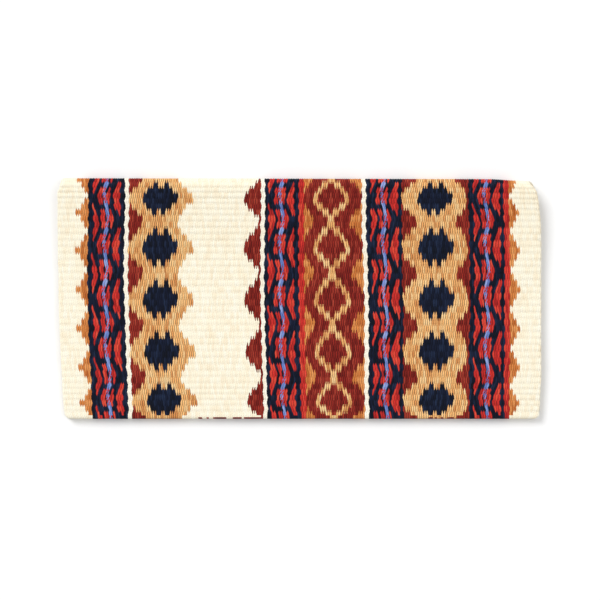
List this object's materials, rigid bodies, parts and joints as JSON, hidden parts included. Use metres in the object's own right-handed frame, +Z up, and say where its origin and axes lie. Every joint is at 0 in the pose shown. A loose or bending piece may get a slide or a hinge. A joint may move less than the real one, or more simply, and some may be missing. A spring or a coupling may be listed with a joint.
{
  "type": "saddle blanket",
  "caption": "Wool saddle blanket in weft-faced bands, stepped medallions and diamonds, folded in half along a soft rolled spine that opens out flat.",
  "frame": {"origin": "middle of the folded blanket's footprint, on the surface that it lies on", "axes": "+X along the ribs to the blanket's right end, +Y from the hems to the fold, +Z up"},
  "size_m": [0.89, 0.4451, 0.0315],
  "materials": {
    "cream_wool": "matt, ribbed wool",
    "light_wool": "matt, ribbed wool",
    "gold_wool": "matt, ribbed wool",
    "orange_wool": "matt, ribbed wool",
    "dark_red_wool": "matt, ribbed wool",
    "red_wool": "matt, ribbed wool",
    "navy_wool": "matt, ribbed wool",
    "undyed_wool": "twisted cord"
  },
  "bodies": {
    "lower_leaf": {"lower_cream_end_left": "cream_wool", "lower_wave_band_1": "navy_wool", "lower_light_stripe_1": "light_wool", "lower_ring_band_left": "gold_wool", "lower_cream_field": "cream_wool", "lower_light_stripe_2": "light_wool", "lower_wave_band_2": "navy_wool", "lower_red_stripe_1": "red_wool", "lower_diamond_band": "dark_red_wool", "lower_light_stripe_3": "light_wool", "lower_wave_band_3": "navy_wool", "lower_ring_band_right": "gold_wool", "lower_wave_band_4": "navy_wool", "lower_red_stripe_2": "red_wool", "lower_cream_end_right": "cream_wool"},
    "first_fold_rib": {"fold_rib_1": "cream_wool", "fold_rib_1_warp": "undyed_wool"},
    "second_fold_rib": {"fold_rib_2": "cream_wool", "fold_rib_2_warp": "undyed_wool"},
    "third_fold_rib": {"fold_rib_3": "cream_wool", "fold_rib_3_warp": "undyed_wool"},
    "upper_leaf": {"upper_cream_end_left": "cream_wool", "upper_orange_edge_left": "orange_wool", "upper_wave_band_1": "navy_wool", "upper_light_stripe_1": "light_wool", "upper_dark_red_edge_1": "dark_red_wool", "upper_ring_band_left": "gold_wool", "upper_medallion_left_1": "navy_wool", "upper_medallion_left_2": "navy_wool", "upper_medallion_left_3": "navy_wool", "upper_medallion_left_4": "navy_wool", "upper_medallion_left_5": "navy_wool", "upper_cream_field": "cream_wool", "upper_dark_red_edge_2": "dark_red_wool", "upper_light_stripe_2": "light_wool", "upper_wave_band_2": "navy_wool", "upper_red_stripe_1": "red_wool", "upper_diamond_ground_left": "dark_red_wool", "upper_diamond_chain": "gold_wool", "upper_diamond_centre_1": "dark_red_wool", "upper_diamond_centre_2": "dark_red_wool", "upper_diamond_centre_3": "dark_red_wool", "upper_diamond_centre_4": "dark_red_wool", "upper_diamond_centre_5": "dark_red_wool", "upper_diamond_ground_right": "dark_red_wool", "upper_light_stripe_3": "light_wool", "upper_wave_band_3": "navy_wool", "upper_dark_red_edge_3": "dark_red_wool", "upper_ring_band_right": "gold_wool", "upper_medallion_right_1": "navy_wool", "upper_medallion_right_2": "navy_wool", "upper_medallion_right_3": "navy_wool", "upper_medallion_right_4": "navy_wool", "upper_medallion_right_5": "navy_wool", "upper_dark_red_edge_4": "dark_red_wool", "upper_wave_band_4": "navy_wool", "upper_red_stripe_2": "red_wool", "upper_orange_edge_right": "orange_wool", "upper_cream_end_right": "cream_wool"}
  },
  "joints": [
    {"name": "lower_valley", "type": "hinge", "parent": "lower_leaf", "child": "first_fold_rib", "pos_m": [0, 0.20836, 0.004], "axis": [-1, 0, 0], "range_deg": [0, 30.34]},
    {"name": "second_valley", "type": "hinge", "parent": "first_fold_rib", "child": "second_fold_rib", "pos_m": [0, 0.21863, 0.01001], "axis": [-1, 0, 0], "range_deg": [0, 60.68]},
    {"name": "third_valley", "type": "hinge", "parent": "second_fold_rib", "child": "third_fold_rib", "pos_m": [0, 0.21842, 0.02191], "axis": [-1, 0, 0], "range_deg": [0, 60.68]},
    {"name": "spine_fold", "type": "hinge", "parent": "third_fold_rib", "child": "upper_leaf", "pos_m": [0, 0.20794, 0.02755], "axis": [-1, 0, 0], "range_deg": [0, 30.34]}
  ],
  "couplings": [
    {"joint": "lower_valley", "follows": "spine_fold", "ratio": 1},
    {"joint": "second_valley", "follows": "spine_fold", "ratio": 2},
    {"joint": "third_valley", "follows": "spine_fold", "ratio": 2}
  ]
}
